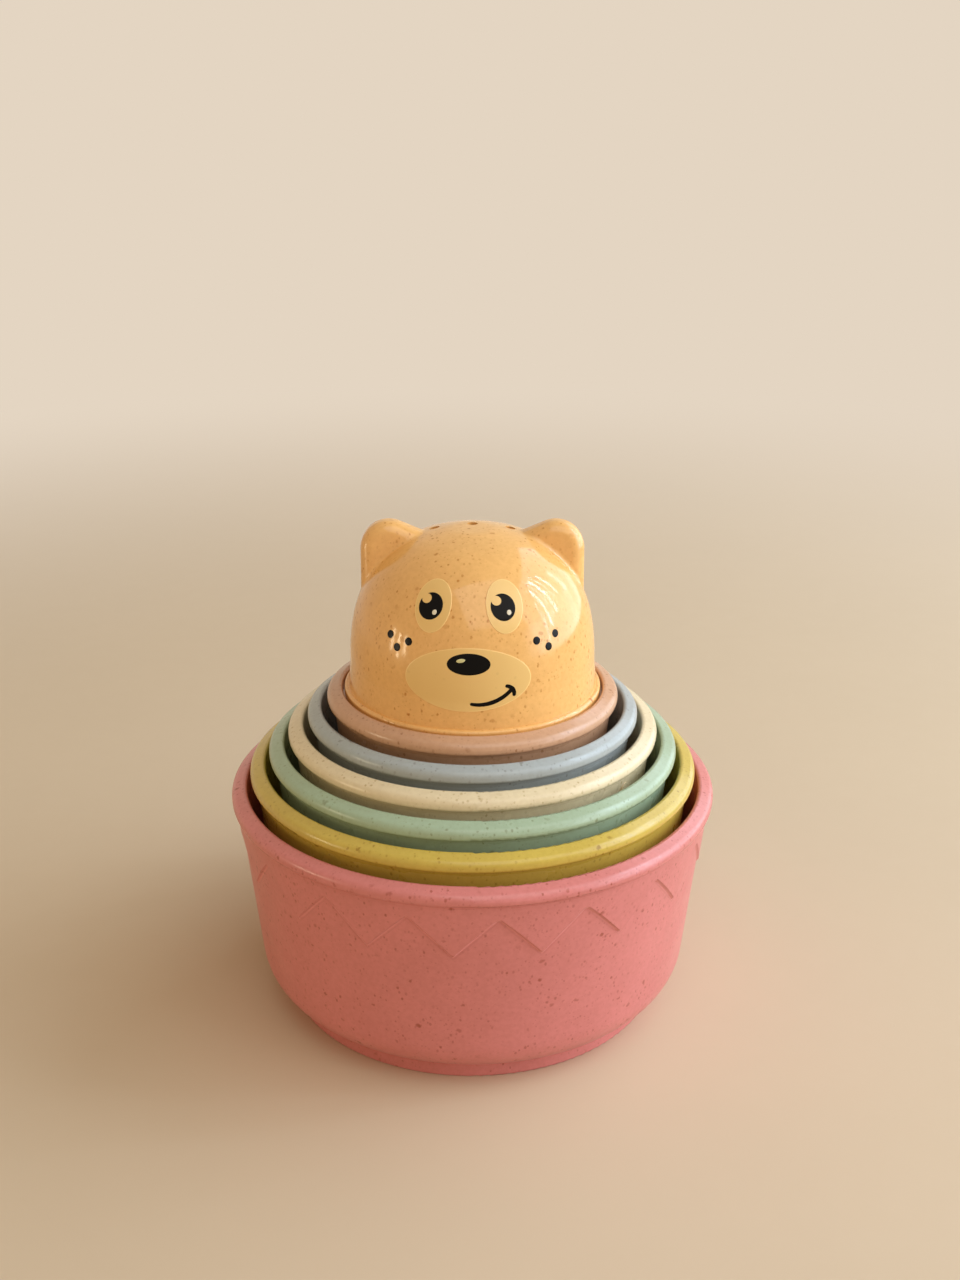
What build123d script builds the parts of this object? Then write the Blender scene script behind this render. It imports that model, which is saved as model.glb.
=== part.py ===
"""Nest of six stacking cups topped by a bear's head, in speckled plastic.

Millimetres, +Z up. The origin is the middle of the largest cup's foot, and the bear
faces -Y. Each cup stands with its foot ring on the floor of the next larger cup, and
the head's flange sits on a ledge inside the smallest cup's mouth.
"""
from build123d import *
from math import atan2, cos, radians, sin, tan
import os

# ---- The nest ----
largest_rim_r = 48.0
cup_heights = {
    "cup_pink": 45.8,
    "cup_yellow": 45.35,
    "cup_green": 44.5,
    "cup_cream": 43.25,
    "cup_blue": 41.75,
    "cup_mauve": 40.4,
}
cup_walls = {
    "cup_pink": 2.1,
    "cup_yellow": 2.1,
    "cup_green": 2.1,
    "cup_cream": 2.1,
    "cup_blue": 1.8,
    "cup_mauve": 2.1,
}
nest_gaps = {  # between a cup's wall and the next larger cup's, measured level
    "cup_yellow": 2.2,
    "cup_green": 2.2,
    "cup_cream": 2.2,
    "cup_blue": 2.2,
    "cup_mauve": 2.5,
}

# ---- Every cup ----
wall_draft = 6.0  # degrees
floor_t = 1.6
bead_h = 3.4
bead_overhang = 1.2
bead_shoulder = 1.2  # drop from the lip to the bead's outer corner
bead_top_r = 1.4
bead_low_r = 0.9
bead_root_r = 0.25
lip_r = 0.6
foot_inset = 10.1  # from the rim to the foot ring
foot_w = 3.0
foot_edge_r = 0.4
foot_crease_r = 0.5  # where the bowl runs into the foot ring
foot_recess = 3.4  # height of the floor's underside
bowl_z = 2.9  # level that the shoulder's curve runs out at
shoulder_r = 8.1
floor_corner_r = 6.6

# ---- Zigzag band round the largest cup ----
zigzag_teeth = 18
zigzag_phase = -4.3  # degrees from the front to the nearest tip
zigzag_drop = 6.6  # from the rim to the top of the notches
zigzag_depth = 8.2
zigzag_relief = 0.4
zigzag_slope = 45.0  # degrees that the step's side is laid back
zigzag_corner_r = 0.6

# ---- Raised dot on the cream cup ----
dot_r = 1.4
dot_relief = 0.35
dot_drop = 6.6  # below the rim
dot_azimuth = 54.5  # degrees from the front, towards +X

# ---- Ledge in the smallest cup's mouth, and the head's flange on it ----
seat_depth = 1.8  # below the lip
seat_w = 0.9
seat_t = 1.0
flange_gap = 0.3
flange_t = 2.0
flange_w = 0.65
flange_edge_r = 0.6

# ---- Head ----
head_wall_t = 1.6
dome_r = 23.75
dome_spring = 7.2  # from the flange's underside to where the dome's curve starts
dome_rise = 25.8
dome_power = 2.35  # 2 is an ellipse, and a larger value is squarer
dome_steps = 8
hole_r = 1.0
hole_spacing = 7.25
hole_y = 2.6

# ---- Ears ----
ear_inset = 2.4  # of the ear's outer side from the dome's
ear_r = 5.4
ear_drop = 4.4  # from the crown down to the centre of the ear's curve
ear_flank = 23.0  # degrees, slope of the top towards the crown
ear_root_x = 6.0
ear_root_drop = 15.8
ear_front_y = -1.5  # of the front, level with the centre of the ear's curve
ear_lean = 8.0  # degrees that the front leans back
ear_t = 7.0
ear_front_r = 2.4
ear_back_r = 3.2
ear_joint_r = 1.0  # where the ear runs into the dome

wall_slope = tan(radians(wall_draft))
floor_z = foot_recess + floor_t


def level_t(wall_t):
    """A drafted wall's thickness, measured level."""
    return wall_t / cos(radians(wall_draft))


def outer_r(rim_r, height, z):
    """Radius of a cup's outside wall, z above its foot."""
    return rim_r - bead_overhang - wall_slope * (height - bead_h - z)


def inner_r(rim_r, height, wall_t, z):
    """Radius of a cup's inside wall, z above its foot."""
    return outer_r(rim_r, height, z) - level_t(wall_t)


def upright(foot_z):
    """Plane of a cup's half section: its radius along X, its height along Z."""
    return Plane(origin=(0, 0, foot_z), x_dir=(1, 0, 0), z_dir=(0, -1, 0))


def plain_cup(rim_r, height, wall_t, foot_z):
    """One cup: rolled rim, drafted wall, rounded shoulder, raised floor and foot ring."""
    bead_z = height - bead_h
    foot_r = rim_r - foot_inset
    with BuildPart() as cup:
        with BuildSketch(upright(foot_z)) as section:
            with BuildLine():
                FilletPolyline(
                    (0, bowl_z),
                    (outer_r(rim_r, height, bowl_z), bowl_z),
                    (outer_r(rim_r, height, bead_z), bead_z),
                    (rim_r, bead_z),
                    (rim_r, height - bead_shoulder),
                    (inner_r(rim_r, height, wall_t, height), height),
                    (inner_r(rim_r, height, wall_t, floor_z), floor_z),
                    (0, floor_z),
                    radius=[0, shoulder_r, bead_root_r, bead_low_r, bead_top_r, lip_r, floor_corner_r, 0],
                    close=True,
                )
            make_face()
            with BuildLine():
                FilletPolyline(
                    (foot_r - foot_w, 0),
                    (foot_r, 0),
                    (foot_r, floor_z - floor_t / 2),
                    (foot_r - foot_w, floor_z - floor_t / 2),
                    radius=[foot_edge_r, foot_edge_r, 0, 0],
                    close=True,
                )
            make_face()
            fillet(section.vertices().sort_by_distance((foot_r, bowl_z))[0], foot_crease_r)
            Rectangle(foot_r - foot_w, foot_recess, align=Align.MIN, mode=Mode.SUBTRACT)
        revolve(axis=Axis.Z)
    return cup.part


# ---- Where each cup stands, and how wide it is ----
rim_r = {}
foot_z = {}
larger = None
for name, height in cup_heights.items():
    if larger is None:
        rim_r[name] = largest_rim_r
        foot_z[name] = 0.0
    else:
        rim_rise = floor_z + height - cup_heights[larger]
        rim_r[name] = rim_r[larger] - level_t(cup_walls[larger]) - nest_gaps[name] + wall_slope * rim_rise
        foot_z[name] = foot_z[larger] + floor_z
    larger = name

cups = {
    name: plain_cup(rim_r[name], height, cup_walls[name], foot_z[name])
    for name, height in cup_heights.items()
}

# ---- Largest cup's zigzag band, one tooth of it, from the top of one notch to the next ----
pink_h = cup_heights["cup_pink"]
pink_wall_t = cup_walls["cup_pink"]
zigzag_top = pink_h - zigzag_drop
zigzag_low = zigzag_top - zigzag_depth
tooth_angle = 360 / zigzag_teeth
band_top = pink_h - bead_h + bead_root_r
band_low = zigzag_low - zigzag_depth / 4
band_top_r = outer_r(largest_rim_r, pink_h, band_top)
band_low_r = outer_r(largest_rim_r, pink_h, band_low)

# The tooth's outline is drawn on a plane that lies just inside the wall at the tooth's tip and
# at the notches beside it. The step is laid back by raising the outline on its way out.
tip_y = outer_r(largest_rim_r, pink_h, zigzag_low)
notch_y = outer_r(largest_rim_r, pink_h, zigzag_top) * cos(radians(tooth_angle / 2))
tooth_half_w = outer_r(largest_rim_r, pink_h, zigzag_top) * sin(radians(tooth_angle / 2))
tooth_lean = atan2(notch_y - tip_y, zigzag_depth)
tooth_h = zigzag_depth / cos(tooth_lean)
flank_angle = atan2(tooth_h, tooth_half_w)
step_rise = tan(radians(zigzag_slope)) / cos(flank_angle)
tooth_inset = zigzag_relief / 2
tooth_plane = Plane(
    origin=(0, tooth_inset - tip_y, zigzag_low),
    x_dir=(1, 0, 0),
    z_dir=(0, -cos(tooth_lean), -sin(tooth_lean)),
)
tip_level = -tooth_inset * step_rise
past_notch = tooth_half_w / 4

with BuildPart() as tooth_outline:
    with BuildSketch(tooth_plane):
        with BuildLine():
            FilletPolyline(
                (-tooth_half_w - past_notch, tip_level + tooth_h - past_notch * tan(flank_angle)),
                (-tooth_half_w, tip_level + tooth_h),
                (0, tip_level),
                (tooth_half_w, tip_level + tooth_h),
                (tooth_half_w + past_notch, tip_level + tooth_h - past_notch * tan(flank_angle)),
                (tooth_half_w + past_notch, band_top - band_low),
                (-tooth_half_w - past_notch, band_top - band_low),
                radius=[0, zigzag_corner_r, zigzag_corner_r, zigzag_corner_r, 0, 0, 0],
                close=True,
            )
        make_face()
    extrude(amount=2 * pink_wall_t, dir=tooth_plane.z_dir + tooth_plane.y_dir * step_rise)

with BuildPart() as tooth:
    with BuildSketch(Plane.XZ):
        with BuildLine():
            Polyline(
                (band_low_r - pink_wall_t / 2, band_low),
                (band_low_r + zigzag_relief, band_low),
                (band_top_r + zigzag_relief, band_top),
                (band_top_r - pink_wall_t / 2, band_top),
                close=True,
            )
        make_face()
    revolve(axis=Axis.Z, revolution_arc=tooth_angle)
    with Locations(Rotation(0, 0, 90 + tooth_angle / 2)):
        add(tooth_outline.part, mode=Mode.INTERSECT)

with BuildPart() as cup_pink:
    add(cups["cup_pink"])
    with PolarLocations(0, zigzag_teeth, start_angle=zigzag_phase - 90 - tooth_angle / 2):
        add(tooth.part)

# ---- Plain cups ----
with BuildPart() as cup_yellow:
    add(cups["cup_yellow"])

with BuildPart() as cup_green:
    add(cups["cup_green"])

with BuildPart() as cup_blue:
    add(cups["cup_blue"])

# ---- Cream cup and its raised dot ----
cream_dot_z = cup_heights["cup_cream"] - dot_drop
cream_dot_r = outer_r(rim_r["cup_cream"], cup_heights["cup_cream"], cream_dot_z)
dot_out = Vector(sin(radians(dot_azimuth)), -cos(radians(dot_azimuth)), 0)
dot_middle = dot_out * cream_dot_r + Vector(0, 0, foot_z["cup_cream"] + cream_dot_z)

with BuildPart() as cup_cream:
    add(cups["cup_cream"])
    with BuildSketch(Plane(origin=dot_middle, z_dir=dot_out)):
        Circle(dot_r)
    extrude(amount=dot_relief, both=True)

# ---- Smallest cup, with the ledge that the head sits on ----
mauve_r = rim_r["cup_mauve"]
mauve_h = cup_heights["cup_mauve"]
mauve_wall_t = cup_walls["cup_mauve"]
seat_z = mauve_h - seat_depth
seat_root_z = seat_z - 2 * seat_t
seat_wall_r = inner_r(mauve_r, mauve_h, mauve_wall_t, seat_z)
seat_root_r = inner_r(mauve_r, mauve_h, mauve_wall_t, seat_root_z)
flange_r = seat_wall_r - flange_gap
seat_inner_r = flange_r - seat_w

with BuildPart() as cup_mauve:
    add(cups["cup_mauve"])
    with BuildSketch(upright(foot_z["cup_mauve"])):
        with BuildLine():
            Polyline(
                (seat_inner_r, seat_z),
                (seat_wall_r + mauve_wall_t / 2, seat_z),
                (seat_root_r + mauve_wall_t / 2, seat_root_z),
                (seat_inner_r, seat_z - seat_t),
                close=True,
            )
        make_face()
    revolve(axis=Axis.Z)

# ---- Bear's head ----
flange_z = foot_z["cup_mauve"] + seat_z
spring_z = flange_z + dome_spring
crown_z = spring_z + dome_rise
base_r = flange_r - flange_w
ear_x = dome_r - ear_inset
ear_z = crown_z - ear_drop
ear_root_z = crown_z - ear_root_drop


def dome_point(radius, rise, step):
    """Point of the dome's half section, from its spring (step 0) to its crown."""
    angle = radians(90 * step / dome_steps)
    return (radius * cos(angle) ** (2 / dome_power), spring_z + rise * sin(angle) ** (2 / dome_power))


def dome_section(foot_r, radius, rise):
    """Half section of a dome on a short conical skirt, closed along the axis."""
    with BuildSketch(Plane.XZ) as section:
        with BuildLine():
            curve = [dome_point(radius, rise, step) for step in range(dome_steps + 1)]
            Spline(*curve, tangents=[(0, 1), (-1, 0)])
            Polyline(curve[0], (foot_r, flange_z), (0, flange_z), curve[-1])
        make_face()
    return section.sketch


def ear_front(inset):
    """Plane of the ear's front, facing out, or with an inset of its hollow's."""
    return Plane(
        origin=(ear_x - ear_r, ear_front_y + inset, ear_z),
        x_dir=(1, 0, 0),
        z_dir=(0, -cos(radians(ear_lean)), sin(radians(ear_lean))),
    )


def ear_blank(inset, front_r, back_r):
    """Right ear, or with an inset the hollow inside it, down to its root in the dome."""
    side_x = ear_x - inset
    round_r = ear_r - inset
    slope = radians(ear_flank)
    flank_x = ear_x - ear_r - round_r * sin(slope)
    flank_z = ear_z + round_r * cos(slope)
    with BuildPart() as ear:
        with BuildSketch(Plane.XZ.offset(inset - ear_front_y - ear_t)):
            with BuildLine():
                FilletPolyline(
                    (ear_root_x, flank_z - (flank_x - ear_root_x) * tan(slope)),
                    (side_x, flank_z + (side_x - flank_x) * tan(slope)),
                    (side_x, ear_root_z),
                    (ear_root_x, ear_root_z),
                    radius=[0, round_r, 0, 0],
                    close=True,
                )
            make_face()
        extrude(amount=2 * ear_t)
        split(bisect_by=ear_front(inset), keep=Keep.BOTTOM)
        fillet(ear.faces().sort_by(Axis.Y)[0].edges(), front_r)
        fillet(ear.faces().sort_by(Axis.Y)[-1].edges(), back_r)
    return ear.part


ear = ear_blank(0, ear_front_r, ear_back_r)
ear_hollow = ear_blank(head_wall_t, ear_front_r / 4, ear_back_r / 4)

with BuildPart() as bear_head:
    add(dome_section(base_r, dome_r, dome_rise))
    revolve(axis=Axis.Z)
    with BuildSketch(Plane.XZ):
        with BuildLine():
            FilletPolyline(
                (0, flange_z),
                (flange_r, flange_z),
                (flange_r, flange_z + flange_t),
                (0, flange_z + flange_t),
                radius=[0, 0, flange_edge_r, 0],
                close=True,
            )
        make_face()
    revolve(axis=Axis.Z)
    add(ear)
    fillet(bear_head.edges(Select.NEW), ear_joint_r)
    mirror(ear, about=Plane.YZ)
    fillet(bear_head.edges(Select.NEW), ear_joint_r)
    add(dome_section(base_r - head_wall_t, dome_r - head_wall_t, dome_rise - head_wall_t))
    revolve(axis=Axis.Z, mode=Mode.SUBTRACT)
    add(ear_hollow, mode=Mode.SUBTRACT)
    mirror(ear_hollow, about=Plane.YZ, mode=Mode.SUBTRACT)
    with BuildSketch(Plane.XY.offset(spring_z + dome_rise / 2)):
        with Locations((-hole_spacing, hole_y), (0, hole_y), (hole_spacing, hole_y)):
            Circle(hole_r)
    extrude(amount=dome_rise, mode=Mode.SUBTRACT)

# ---- Export ----
pieces = {
    "cup_pink": cup_pink,
    "cup_yellow": cup_yellow,
    "cup_green": cup_green,
    "cup_cream": cup_cream,
    "cup_blue": cup_blue,
    "cup_mauve": cup_mauve,
    "bear_head": bear_head,
}
os.makedirs("parts", exist_ok=True)
for name, piece in pieces.items():
    piece.part.label = name
    export_step(piece.part, f"parts/{name}.step")
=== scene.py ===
"""Looks of the nesting stacking cups: speckled plastic, the bear's printed face, floor and light.

Metres, in the part's own frame: +Z up, the bear faces -Y, and the origin is under the middle of
the nest.
"""

from math import atan2, cos, hypot, pi, radians, sin

import bmesh
import bpy
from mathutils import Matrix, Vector


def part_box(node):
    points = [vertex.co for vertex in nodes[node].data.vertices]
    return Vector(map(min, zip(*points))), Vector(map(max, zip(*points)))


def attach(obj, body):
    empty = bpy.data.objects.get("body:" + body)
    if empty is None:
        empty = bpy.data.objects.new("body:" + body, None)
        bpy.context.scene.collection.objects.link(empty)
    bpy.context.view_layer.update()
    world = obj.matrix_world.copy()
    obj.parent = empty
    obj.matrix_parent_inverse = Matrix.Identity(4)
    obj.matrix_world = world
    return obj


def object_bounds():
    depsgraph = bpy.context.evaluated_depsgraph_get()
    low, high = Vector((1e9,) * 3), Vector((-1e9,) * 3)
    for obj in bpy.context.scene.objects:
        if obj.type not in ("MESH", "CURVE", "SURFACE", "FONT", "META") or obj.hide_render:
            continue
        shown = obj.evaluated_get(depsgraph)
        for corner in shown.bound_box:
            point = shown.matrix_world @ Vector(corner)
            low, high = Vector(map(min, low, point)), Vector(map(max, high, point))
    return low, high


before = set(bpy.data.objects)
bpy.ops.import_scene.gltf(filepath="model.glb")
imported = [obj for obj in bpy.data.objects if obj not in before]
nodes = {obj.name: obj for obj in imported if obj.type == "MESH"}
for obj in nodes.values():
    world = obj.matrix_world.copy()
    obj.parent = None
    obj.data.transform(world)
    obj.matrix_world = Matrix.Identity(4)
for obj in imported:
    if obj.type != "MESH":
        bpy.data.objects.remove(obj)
cad_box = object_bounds()
mm = 0.001

# ---- Head's outside, as the model has it ----
head_low, head_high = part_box("bear_head")
flange_r = (head_high.x - head_low.x) / 2
flange_w = 0.65 * mm
skirt_r = flange_r - flange_w
dome_r = 23.75 * mm
dome_spring = 7.2 * mm  # from the flange's underside to where the dome's curve starts
dome_rise = 25.8 * mm
dome_power = 2.35
spring_z = head_low.z + dome_spring

# ---- Zigzag step on the largest cup, as the model has it ----
zigzag_teeth = 18
zigzag_phase = radians(-4.3)  # from the front to the nearest tip
zigzag_low = 31.0 * mm
zigzag_depth = 8.2 * mm
zigzag_lean = 0.703  # distance from a line, as a share of the height above it
zigzag_half_step = 0.2 * mm  # from the step's middle to its edge, and to its crease
zigzag_line = (0.04 * mm, 0.22 * mm)  # from a line's middle to where its fading starts and ends
pink_between_r = 44.6 * mm  # between the cup's inner and outer walls at the zigzag
# Painted shade: a darker line in the zigzag step's crease, where shade falls.
crease_shade_depth, crease_shade_tint = 0.35, (0.82, 0.74, 0.72)
# Painted highlight: a lighter line along the zigzag step's edge, where light catches it.
highlight_depth, highlight_tint = 0.7, (1.18, 1.36, 1.36)

# ---- Plastic, film, ink and floor ----
cloud_size = 11 * mm
smudge_size = 7 * mm
grain_size = 0.9 * mm
grain_depth = 0.12
fleck_kinds = [  # strength, spacing, smallest and largest radius in mm, share, stretch, turn
    (0.42, 0.7, 0.16, 0.28, 0.55),
    (0.85, 0.9, 0.22, 0.38, 0.50, (1.0, 1.0, 0.7), 0.6),
    (1.00, 2.3, 0.38, 0.64, 0.40, (0.8, 1.0, 1.0), 1.3),
]
film_flecks = (1.6, 0.24, 0.42, 0.3)  # spacing, smallest and largest radius in mm, share
fleck_core = 0.35  # share of a fleck's radius inside its soft edge
fleck_faintest = 0.4
crowd_size = 5 * mm
crowd_thinnest = 0.35
rim_fade = (4.4 * mm, 3.2 * mm)  # how far below the top the wall turns into the smoother rim
skin_grain = 0.35 * mm
film_roughness = 0.24
film_skin = (0.5 * mm, 0.003 * mm)  # grain and depth of the bump
ink_skin = (0.4 * mm, 0.002 * mm)
ink_ior = 1.22
floor_roughness = 0.75
floor_skin = (1.5 * mm, 0.01 * mm)

# ---- Printed face, in millimetres ----
# Places are degrees from the front towards +X, and the height above the flange's underside.
eye_places = {"left": (-21.3, 24.0), "right": (17.2, 24.0)}
eye_turns = {"left": 2.2, "right": -6.6}  # degrees, anticlockwise
eye_patch_w = 6.9
eye_patch_h = 10.2
pupil_offset = (-0.35, -0.25)
pupil_w = 4.56
pupil_h = 5.1
pupil_notch = (-1.04, 1.32, 0.92)  # across, up, radius
eye_glint = (0.95, -1.08)
eye_glint_w = 0.84
eye_glint_h = 0.98
eye_glint_turn = -15
muzzle_place = (-2.2, 11.4)
muzzle_w = 22.8
muzzle_h = 11.95
nose_place = (-1.7, 14.4)
nose_w = 7.85
nose_h = 4.0
nose_glint = (-1.42, 0.66)
nose_glint_w = 1.6
nose_glint_h = 0.72
nose_glint_turn = 9
smile_place = (0.0, 8.0)
smile_arc = (1.22, 6.65, 7.87)  # across, up, radius
smile_angles = (-100, -44)
smile_line_w = (0.62, 0.84, 0.74)  # at the start, middle and end
smile_corner_arc = (5.87, 0.47, 1.68)
smile_corner_angles = (-4, 78)
smile_corner_w = (0.66, 0.84, 0.66)
freckle_places = [
    (-41.7, 17.8), (-36.7, 15.9), (-30.8, 17.35),
    (31.0, 17.5), (37.2, 16.0), (42.3, 17.9),
]
freckle_w = 1.5
film_t = 0.07
film_border = 0.17  # width of the clear edge that runs round a patch
ink_t = 0.03
print_sink = 0.01  # how far a layer sinks into the one below
smile_corner_lift = 0.005  # keeps the corner clear of the line it crosses
print_edge = 0.06
print_step = 0.45  # spacing of the cuts that let a print follow the dome
print_reach = 3  # how far outside the head a print starts before it is laid down
rim_angle = 1.0  # radians between two faces, over which the edge between them is rounded
sharp_edge = radians(50)

# ---- Camera, floor and light ----
camera_place = (0.0, -0.27226, 0.17900)
camera_tilt = 21.136  # degrees below level
camera_lens = 42.19
camera_shift = 0.0059
window_panes = [  # azimuth, elevation, width, height, power
    (76, 19, 0.012, 0.44, 0.26),
    (83, 29, 0.020, 0.48, 0.66),
    (89, 34, 0.010, 0.48, 0.20),
    (95, 33, 0.024, 0.44, 0.72),
    (102, 36, 0.010, 0.40, 0.17),
    (109, 34, 0.016, 0.28, 0.24),
    (123, 25, 0.050, 0.24, 0.18),
]
window_distance = 0.75
window_colour = (0.66, 0.83, 1.0)
side_panes = [  # azimuth, elevation, width, height, power
    (-64, 5, 0.022, 0.14, 0.12),
    (-71, 3, 0.022, 0.16, 0.18),
    (-78, 5, 0.022, 0.14, 0.13),
]
side_distance = 0.6
side_colour = (1.0, 0.83, 0.55)
soft_distance = 0.9
daylight_from = (102, 26)  # azimuth, elevation
daylight_steps = [(0.7, 0.5, 1.8), (1.1, 0.75, 4.4), (1.6, 1.0, 10.8)]  # width, height, power
daylight_colour = (0.76, 0.87, 1.0)
fills = {  # azimuth, elevation, width, height, power, colour
    "front_fill": (22, 52, 0.8, 0.8, 2.85, (0.97, 0.95, 0.93)),
    "low_fill": (88, 9, 1.3, 0.4, 2.2, (0.74, 0.88, 1.0)),
}
room_colour = (1.0, 0.80, 0.50, 1.0)
room_strength = 0.35
floor_size = 8.0
floor_clear = (0.16, 0.60)  # distances between which the floor turns into the plain background


# ---------------------------------------------------------------- materials
def srgb(*values):
    """Scene-linear colour from display values of 0 to 255."""
    shares = [value / 255 for value in values]
    linear = [c / 12.92 if c <= 0.04045 else ((c + 0.055) / 1.055) ** 2.4 for c in shares]
    return (*linear, 1.0)


def tint(colour, *shares):
    """A colour with its red, green and blue each multiplied by a share."""
    return tuple(min(1.0, c * k) for c, k in zip(colour[:3], shares)) + (1.0,)


class Shading:
    """A material's node tree, with short calls for the nodes that the plastics share."""

    def __init__(self, name):
        self.material = bpy.data.materials.new(name)
        self.material.use_nodes = True
        self.tree = self.material.node_tree
        self.surface = self.tree.nodes["Principled BSDF"]
        self.place = self.tree.nodes.new("ShaderNodeTexCoord").outputs["Object"]

    def node(self, kind, inputs=None, **settings):
        made = self.tree.nodes.new("ShaderNode" + kind)
        for key, value in settings.items():
            setattr(made, key, value)
        for key, value in (inputs or {}).items():
            if isinstance(value, bpy.types.NodeSocket):
                self.tree.links.new(value, made.inputs[key])
            else:
                made.inputs[key].default_value = value
        return made

    def math(self, operation, first, second=0.0):
        return self.node("Math", {0: first, 1: second}, operation=operation).outputs[0]

    def ramp(self, value, low, high, out_low=0.0, out_high=1.0, curve="SMOOTHSTEP"):
        limits = {"From Min": low, "From Max": high, "To Min": out_low, "To Max": out_high}
        made = self.node("MapRange", {"Value": value, **limits}, interpolation_type=curve)
        return made.outputs["Result"]

    def noise(self, grain, detail=2.0):
        return self.node("TexNoise", {"Vector": self.place, "Scale": 1 / grain, "Detail": detail})

    def blend(self, share, first, second):
        made = self.node("Mix", {"Factor": share}, data_type="RGBA")
        for socket, value in ((made.inputs[6], first), (made.inputs[7], second)):
            if isinstance(value, bpy.types.NodeSocket):
                self.tree.links.new(value, socket)
            else:
                socket.default_value = value
        return made.outputs[2]

    def specks(self, spacing, smallest, largest, share, stretch=(1, 1, 1), turn=0.0):
        """Mask of soft flecks, one to a cell in a share of the cells.

        Spacing and radii are in millimetres. Some flecks are fainter, and so are some places.
        """
        waver = 0.3 * spacing * mm
        wobble = self.noise(waver, 1.0).outputs["Color"]
        shift = {0: wobble, 1: (waver,) * 3, 2: self.place}
        shifted = self.node("VectorMath", shift, operation="MULTIPLY_ADD").outputs[0]
        rotation = (turn, turn * 0.7, turn * 0.4)
        laid = self.node("Mapping", {"Vector": shifted, "Scale": stretch, "Rotation": rotation})
        grid = {"Vector": laid.outputs[0], "Scale": 1 / (spacing * mm), "Randomness": 1.0}
        cells = self.node("TexVoronoi", grid)
        draw, second_draw, _ = self.node("SeparateColor", {"Color": cells.outputs["Color"]}).outputs
        sizes = (smallest / spacing, largest / spacing)
        size = self.ramp(draw, 1 - share, 1.0, *sizes, curve="LINEAR")
        kept = self.math("GREATER_THAN", draw, 1 - share)
        nearness = self.math("DIVIDE", cells.outputs["Distance"], size)
        depth = self.ramp(second_draw, 0.0, 1.0, fleck_faintest, 1.0, curve="LINEAR")
        crowd = self.ramp(self.noise(crowd_size, 1.0).outputs[0], 0.38, 0.58, crowd_thinnest, 1.0)
        shown = self.math("MULTIPLY", kept, self.math("MULTIPLY", depth, crowd))
        return self.math("MULTIPLY", self.ramp(nearness, fleck_core, 1.0, 1.0, 0.0), shown)

    def clouds(self, colour, grain, detail, low, high, darker, lighter=(1, 1, 1)):
        """The colour, wandering between two tints of itself."""
        cloud = self.ramp(self.noise(grain, detail).outputs[0], low, high)
        return self.blend(cloud, tint(colour, *darker), tint(colour, *lighter))

    def finish(self, colour, roughness, bump_grain, bump_depth):
        """Wires the colour, the roughness, and the moulded skin's fine bump."""
        self.tree.links.new(colour, self.surface.inputs["Base Color"])
        self.tree.links.new(roughness, self.surface.inputs["Roughness"])
        skin = self.noise(bump_grain, 2.0).outputs[0]
        bump = self.node("Bump", {"Strength": 1.0, "Distance": bump_depth, "Height": skin})
        self.tree.links.new(bump.outputs[0], self.surface.inputs["Normal"])
        return self.material

    def smudged(self, roughness, spread=0.04):
        """Roughness that wanders a little, as handled plastic's does."""
        wander = self.noise(smudge_size, 3.0).outputs[0]
        return self.ramp(wander, 0.3, 0.7, roughness - spread, roughness + spread)


def zigzag_edges(shading):
    """Masks, on the cup's outside, of a painted highlight along the zigzag step's edge and of
    painted shade in its crease.
    """
    x, y, z = shading.node("SeparateXYZ", {"Vector": shading.place}).outputs
    azimuth = shading.math("ARCTAN2", x, shading.math("MULTIPLY", y, -1.0))
    from_tip = shading.math("SUBTRACT", azimuth, zigzag_phase)
    teeth = shading.math("MULTIPLY", from_tip, zigzag_teeth / (2 * pi))
    wave = shading.math("MULTIPLY", shading.math("PINGPONG", teeth, 0.5), 2 * zigzag_depth)
    above = shading.math("SUBTRACT", z, shading.math("ADD", wave, zigzag_low))
    above = shading.math("MULTIPLY", above, zigzag_lean)
    level = shading.node("CombineXYZ", {"X": x, "Y": y}).outputs[0]
    reach = shading.node("VectorMath", {0: level}, operation="LENGTH").outputs["Value"]
    outside = shading.math("GREATER_THAN", reach, pink_between_r)
    masks = []
    for middle in (zigzag_half_step, -zigzag_half_step):
        away = shading.math("ABSOLUTE", shading.math("SUBTRACT", above, middle))
        line = shading.ramp(away, *zigzag_line, 1.0, 0.0)
        masks.append(shading.math("MULTIPLY", line, outside))
    return masks


def speckled_plastic(name, node, colour, roughness, rim_roughness, fleck_tint, bump_depth):
    """Moulded plastic with ground plant fibre in it: faint clouds, fine dust, small soft flecks; on
    the pink cup also a painted highlight and painted shade along the zigzag step.
    """
    shading = Shading(name)
    body = shading.clouds(colour, cloud_size, 3.0, 0.3, 0.7, (0.97, 0.96, 0.95), (1.02,) * 3)
    fleck = tint(colour, *fleck_tint)
    grain = shading.noise(grain_size, 2.0).outputs[0]
    body = shading.blend(shading.ramp(grain, 0.3, 0.7, grain_depth, 0.0), body, fleck)
    for strength, *kind in fleck_kinds:
        mask = shading.math("MULTIPLY", shading.specks(*kind), strength)
        body = shading.blend(mask, body, fleck)
    if node == "cup_pink":
        edge, crease = zigzag_edges(shading)
        # Painted shade in the zigzag step's crease.
        painted_shade = shading.math("MULTIPLY", crease, crease_shade_depth)
        body = shading.blend(painted_shade, body, tint(colour, *crease_shade_tint))
        # Painted highlight along the zigzag step's edge.
        painted_highlight = shading.math("MULTIPLY", edge, highlight_depth)
        body = shading.blend(painted_highlight, body, tint(colour, *highlight_tint))
    height = shading.node("SeparateXYZ", {"Vector": shading.place}).outputs[2]
    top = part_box(node)[1].z
    on_rim = shading.ramp(height, top - rim_fade[0], top - rim_fade[1])
    on_wall = shading.smudged(roughness)
    polished = shading.smudged(rim_roughness, 0.02)
    inputs = {"Factor": on_rim, 2: on_wall, 3: polished}
    mixed = shading.node("Mix", inputs, data_type="FLOAT").outputs[0]
    return shading.finish(body, mixed, skin_grain, bump_depth)


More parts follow.
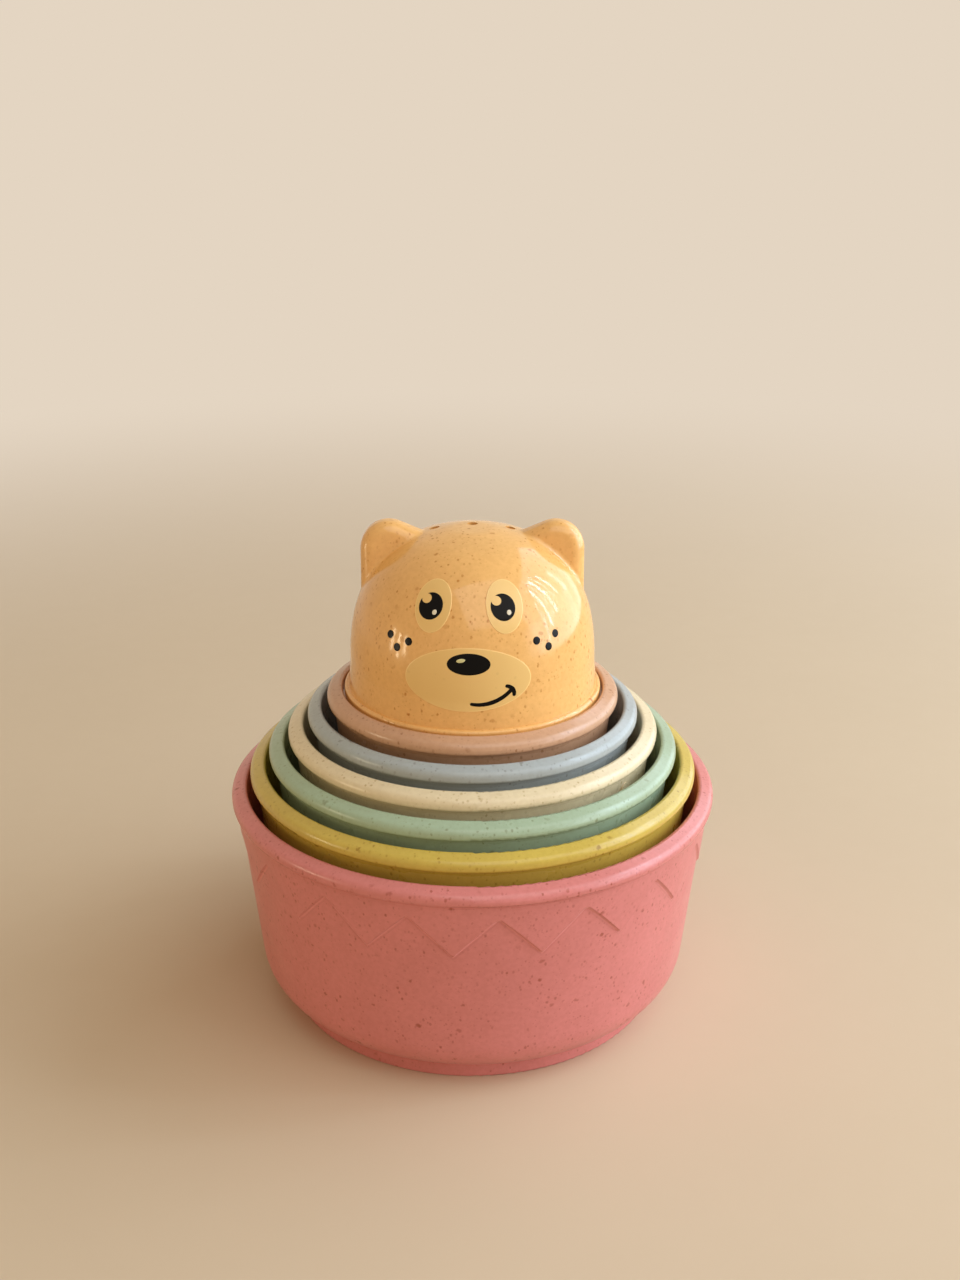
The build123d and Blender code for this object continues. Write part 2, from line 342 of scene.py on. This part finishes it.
def printed_film(name, colour, fleck_share):
    """Thin clear film with a yellow cast: the plastic's own flecks show through it faintly."""
    shading = Shading(name)
    body = shading.clouds(colour, cloud_size, 3.0, 0.3, 0.7, (0.98, 0.97, 0.96))
    flecks = shading.math("MULTIPLY", shading.specks(*film_flecks), fleck_share)
    body = shading.blend(flecks, body, tint(colour, 0.5, 0.4, 0.32))
    return shading.finish(body, shading.smudged(film_roughness, 0.03), *film_skin)


def printed_ink(name, colour, roughness):
    """Solid ink with a printed layer's faint unevenness, and less mirror-like than plastic."""
    shading = Shading(name)
    shading.surface.inputs["IOR"].default_value = ink_ior
    body = shading.clouds(colour, 1.2 * mm, 3.0, 0.35, 0.7, (0.9,) * 3)
    return shading.finish(body, shading.smudged(roughness, 0.03), *ink_skin)


def background_rays(tree):
    """1 for rays that see the plain background: straight, mirrored or through something clear."""
    path = tree.nodes.new("ShaderNodeLightPath")
    seen = path.outputs["Is Camera Ray"]
    for kind in ("Is Glossy Ray", "Is Transmission Ray"):
        either = tree.nodes.new("ShaderNodeMath")
        either.operation = "MAXIMUM"
        tree.links.new(seen, either.inputs[0])
        tree.links.new(path.outputs[kind], either.inputs[1])
        seen = either.outputs[0]
    return seen


def plain_floor(name, colour):
    """Matt pale floor round the object, turning into the plain background further out."""
    shading = Shading(name)
    body = shading.clouds(colour, 60 * mm, 4.0, 0.3, 0.7, (0.985,) * 3)
    material = shading.finish(body, shading.smudged(floor_roughness), *floor_skin)
    away = shading.node("VectorMath", {0: shading.place}, operation="LENGTH").outputs["Value"]
    far = shading.math("MULTIPLY", shading.ramp(away, *floor_clear), background_rays(shading.tree))
    plain = shading.node("Emission", {"Color": background_colour, "Strength": 1.0}).outputs[0]
    ground = shading.node("MixShader", {0: far, 1: shading.surface.outputs[0], 2: plain})
    output = shading.tree.nodes["Material Output"]
    shading.tree.links.new(ground.outputs[0], output.inputs["Surface"])
    return material


background_colour = srgb(228, 213, 194)
floor_colour = srgb(210, 188, 160)
head_colour = srgb(239, 184, 111)
finishes = {  # shade, colour, roughness below and on the rim, tint of the flecks, bump's depth
    "cup_pink": ("pink", srgb(214, 128, 124), 0.38, 0.24, (0.56, 0.36, 0.24), 0.005 * mm),
    "cup_yellow": ("yellow", srgb(205, 177, 78), 0.30, 0.20, (0.58, 0.46, 0.26), 0.004 * mm),
    "cup_green": ("green", srgb(164, 184, 156), 0.30, 0.20, (0.60, 0.52, 0.42), 0.004 * mm),
    "cup_cream": ("cream", srgb(228, 210, 174), 0.30, 0.20, (0.64, 0.54, 0.40), 0.004 * mm),
    "cup_blue": ("blue", srgb(168, 175, 176), 0.30, 0.20, (0.60, 0.54, 0.48), 0.004 * mm),
    "cup_mauve": ("mauve", srgb(203, 158, 125), 0.30, 0.20, (0.56, 0.42, 0.28), 0.004 * mm),
    "bear_head": ("orange", head_colour, 0.12, 0.12, (0.56, 0.33, 0.07), 0.0012 * mm),
}
for node, (shade, *looks) in finishes.items():
    slots = nodes[node].data.materials
    slots.clear()
    slots.append(speckled_plastic(f"{shade}_plastic", node, *looks))


# ---------------------------------------------------------------- printed face
def dome_radius(height):
    """Outside radius of the head at a height in the frame."""
    if height <= spring_z:
        return dome_r + (skirt_r - dome_r) * (spring_z - height) / dome_spring
    rise = min(1.0, (height - spring_z) / dome_rise)
    return dome_r * (1 - rise ** dome_power) ** (1 / dome_power)


def dome_normal(azimuth, height):
    """Outward normal of the head's outside."""
    step = 0.05 * mm
    slope = (dome_radius(height + step) - dome_radius(height - step)) / (2 * step)
    return Vector((sin(azimuth), -cos(azimuth), -slope)).normalized()


def onto_dome(point, inward):
    """Where a point outside the head meets it, going inward, with the normal there."""
    near, far = 0.0, 20 * mm
    for _ in range(30):
        middle = (near + far) / 2
        tried = point + inward * middle
        if hypot(tried.x, tried.y) < dome_radius(tried.z):
            far = middle
        else:
            near = middle
    met = point + inward * far
    return met, dome_normal(atan2(met.x, -met.y), met.z)


def oval(width, height, turn=0.0, across=0.0, up=0.0, points=64):
    """Outline of an ellipse, in millimetres on the flat."""
    lean = radians(turn)
    outline = []
    for k in range(points):
        x = width / 2 * cos(2 * pi * k / points)
        y = height / 2 * sin(2 * pi * k / points)
        outline.append((across + x * cos(lean) - y * sin(lean), up + x * sin(lean) + y * cos(lean)))
    return outline


def kept_run(points, kept):
    """The points to keep of a closed outline, in order, starting after those to drop."""
    start = next(k for k in range(len(points)) if kept[k] and not kept[k - 1])
    turned = zip(points[start:] + points[:start], kept[start:] + kept[:start])
    return [point for point, keep in turned if keep]


def notched_oval(width, height, notch, across, up):
    """Outline of an ellipse with a round bite taken out of its edge."""
    bite_x, bite_y, bite_r = notch[0] + across, notch[1] + up, notch[2]
    rim = oval(width, height, 0, across, up, 96)
    bite = oval(2 * bite_r, 2 * bite_r, 0, bite_x, bite_y, 48)
    outside = [hypot(x - bite_x, y - bite_y) > bite_r for x, y in rim]
    within = [hypot((x - across) / (width / 2), (y - up) / (height / 2)) < 1 for x, y in bite]
    return kept_run(rim, outside) + kept_run(bite, within)[::-1]


def brush_stroke(arc, angles, widths, points=24):
    """Outline of a line along an arc, its width changing from end to end, with round ends."""
    centre_x, centre_y, radius = arc
    low, high = (radians(a) for a in angles)

    def edge(share, side):
        near, middle, far = widths
        if share < 0.5:
            width = near + (middle - near) * share * 2
        else:
            width = middle + (far - middle) * (share * 2 - 1)
        angle = low + (high - low) * share
        reach = radius + side * width / 2
        return centre_x + reach * cos(angle), centre_y + reach * sin(angle)

    def cap(angle, width, first):
        x, y = centre_x + radius * cos(angle), centre_y + radius * sin(angle)
        swing = [first + pi * k / 8 for k in range(1, 8)]
        return [(x + width / 2 * cos(a), y + width / 2 * sin(a)) for a in swing]

    outer = [edge(k / points, 1) for k in range(points + 1)]
    inner = [edge(k / points, -1) for k in range(points, -1, -1)]
    return outer + cap(high, widths[2], high) + inner + cap(low, widths[0], low + pi)


def flat_print(outline, thickness, border):
    """A printed layer in the shape of the outline, lying flat and cut up so that it can bend.

    A border gives it an edge of that width in the second material.
    """
    work = bmesh.new()
    whole = work.faces.new([work.verts.new((x, y, 0)) for x, y in outline])
    whole.normal_update()
    if border:
        for face in bmesh.ops.inset_individual(work, faces=[whole], thickness=border)["faces"]:
            face.material_index = 1
    spans = [(min(p[axis] for p in outline), max(p[axis] for p in outline)) for axis in (0, 1)]
    for axis, (low, high) in enumerate(spans):
        cuts = int((high - low) / print_step)
        for k in range(1, cuts + 1):
            at, normal = [0.0, 0.0, 0.0], [0.0, 0.0, 0.0]
            at[axis], normal[axis] = low + (high - low) * k / (cuts + 1), 1.0
            layer = work.verts[:] + work.edges[:] + work.faces[:]
            bmesh.ops.bisect_plane(work, geom=layer, plane_co=at, plane_no=normal)
    raised = bmesh.ops.extrude_face_region(work, geom=work.faces[:])["geom"]
    top = [v for v in raised if isinstance(v, bmesh.types.BMVert)]
    bmesh.ops.translate(work, verts=top, vec=(0, 0, thickness))
    bmesh.ops.recalc_face_normals(work, faces=work.faces[:])
    upper = [e for e in work.edges if all(v.co.z > thickness / 2 for v in e.verts)]
    rim = [e for e in upper if e.calc_face_angle(0) > rim_angle]
    rounding = min(print_edge, thickness * 0.6)
    bmesh.ops.bevel(
        work, geom=rim, offset=rounding, segments=2, profile=0.5, affect="EDGES", material=-1
    )
    return work


def print_on_head(name, outline, place, base, thickness, materials, border=0.0):
    """Lays a printed layer on the head at a place, from base up."""
    azimuth, height = radians(place[0]), head_low.z + place[1] * mm
    out = dome_normal(azimuth, height)
    radius = dome_radius(height)
    centre = Vector((radius * sin(azimuth), -radius * cos(azimuth), height))
    right = Vector((cos(azimuth), sin(azimuth), 0))
    upward = out.cross(right)
    work = flat_print(outline, thickness, border)
    for v in work.verts:
        start = centre + (right * v.co.x + upward * v.co.y) * mm + out * print_reach * mm
        met, normal = onto_dome(start, -out)
        v.co = met + normal * (base + v.co.z) * mm
    mesh = bpy.data.meshes.new(name)
    work.to_mesh(mesh)
    work.free()
    mesh.shade_smooth()
    mesh.set_sharp_from_angle(angle=sharp_edge)
    for material in materials:
        mesh.materials.append(material)
    piece = bpy.data.objects.new(name, mesh)
    bpy.context.scene.collection.objects.link(piece)
    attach(piece, "head")


film = [
    printed_film("face_film", tint(head_colour, 0.97, 1.12, 1.20), 0.25),
    printed_film("face_film_edge", tint(head_colour, 1.09, 1.32, 1.55), 0.0),
]
ink = [printed_ink("face_ink", srgb(8, 6, 5), 0.25)]
eye_glint_ink = [printed_ink("eye_glint_ink", srgb(240, 228, 204), 0.3)]
nose_glint_ink = [printed_ink("nose_glint_ink", srgb(222, 214, 158), 0.3)]

ink_base = film_t - print_sink
glint_base = film_t + ink_t - print_sink
corner_base = ink_base + smile_corner_lift

pupil = notched_oval(pupil_w, pupil_h, pupil_notch, *pupil_offset)
glint_offset = [a + b for a, b in zip(pupil_offset, eye_glint)]
glint = oval(eye_glint_w, eye_glint_h, eye_glint_turn, *glint_offset, 32)
for side, place in eye_places.items():
    patch = oval(eye_patch_w, eye_patch_h, eye_turns[side])
    print_on_head(f"eye_patch_{side}", patch, place, 0, film_t, film, film_border)
    print_on_head(f"pupil_{side}", pupil, place, ink_base, ink_t, ink)
    print_on_head(
        f"eye_glint_{side}", glint, place, glint_base, ink_t, eye_glint_ink
    )

patch = oval(muzzle_w, muzzle_h, points=96)
print_on_head("muzzle_patch", patch, muzzle_place, 0, film_t, film, film_border)
nose = oval(nose_w, nose_h)
print_on_head("nose", nose, nose_place, ink_base, ink_t, ink)
glint = oval(nose_glint_w, nose_glint_h, nose_glint_turn, *nose_glint, 32)
print_on_head("nose_glint", glint, nose_place, glint_base, ink_t, nose_glint_ink)
line = brush_stroke(smile_arc, smile_angles, smile_line_w)
print_on_head("smile_line", line, smile_place, ink_base, ink_t, ink)
corner = brush_stroke(smile_corner_arc, smile_corner_angles, smile_corner_w)
print_on_head("smile_corner", corner, smile_place, corner_base, ink_t, ink)
freckle = oval(freckle_w, freckle_w, points=32)
for count, place in enumerate(freckle_places, 1):
    print_on_head(f"freckle_{count}", freckle, place, 0, ink_t, ink)


# ---------------------------------------------------------------- floor, light, camera
def make_floor():
    """Flat square floor under the foot ring."""
    work = bmesh.new()
    bmesh.ops.create_grid(work, x_segments=1, y_segments=1, size=floor_size / 2)
    mesh = bpy.data.meshes.new("floor")
    work.to_mesh(mesh)
    work.free()
    mesh.materials.append(plain_floor("floor_paint", floor_colour))
    floor = bpy.data.objects.new("floor", mesh)
    bpy.context.scene.collection.objects.link(floor)


def make_lamp(name, azimuth, elevation, distance, width, height, power, colour):
    """Area lamp aimed at the middle of the object."""
    aim = (cad_box[0] + cad_box[1]) / 2
    turn, tilt = radians(azimuth), radians(elevation)
    away = Vector((sin(turn) * cos(tilt), -cos(turn) * cos(tilt), sin(tilt)))
    lamp = bpy.data.lights.new(name, "AREA")
    lamp.shape = "RECTANGLE"
    lamp.size = width
    lamp.size_y = height
    lamp.energy = power
    lamp.color = colour
    made = bpy.data.objects.new(name, lamp)
    made.location = aim + away * distance
    made.rotation_mode = "QUATERNION"
    made.rotation_quaternion = away.to_track_quat("Z", "Y")
    bpy.context.scene.collection.objects.link(made)


def make_world():
    """Warm dim room light, with the plain background where it is seen."""
    world = bpy.data.worlds.new("soft_room")
    world.use_nodes = True
    tree = world.node_tree
    room = tree.nodes["Background"]
    room.inputs["Color"].default_value = room_colour
    room.inputs["Strength"].default_value = room_strength
    plain = tree.nodes.new("ShaderNodeBackground")
    plain.inputs["Color"].default_value = background_colour
    plain.inputs["Strength"].default_value = 1.0
    either = tree.nodes.new("ShaderNodeMixShader")
    tree.links.new(background_rays(tree), either.inputs[0])
    tree.links.new(room.outputs[0], either.inputs[1])
    tree.links.new(plain.outputs[0], either.inputs[2])
    tree.links.new(either.outputs[0], tree.nodes["World Output"].inputs["Surface"])
    bpy.context.scene.world = world


def make_camera():
    """Camera before the bear's face, looking down at it."""
    lens = bpy.data.cameras.new("camera")
    lens.lens = camera_lens
    lens.sensor_width = 36
    lens.shift_x = camera_shift
    lens.clip_start = 0.01
    camera = bpy.data.objects.new("camera", lens)
    camera.location = camera_place
    camera.rotation_euler = (radians(90 - camera_tilt), 0, 0)
    bpy.context.scene.collection.objects.link(camera)
    bpy.context.scene.camera = camera


make_floor()
for count, pane in enumerate(window_panes, 1):
    make_lamp(f"window_pane_{count}", *pane[:2], window_distance, *pane[2:], window_colour)
for count, pane in enumerate(side_panes, 1):
    make_lamp(f"side_pane_{count}", *pane[:2], side_distance, *pane[2:], side_colour)
for count, lamp in enumerate(daylight_steps, 1):
    make_lamp(f"daylight_{count}", *daylight_from, soft_distance, *lamp, daylight_colour)
for name, fill in fills.items():
    make_lamp(name, *fill[:2], soft_distance, *fill[2:])
make_world()
make_camera()
bpy.context.scene.view_settings.view_transform = "Standard"
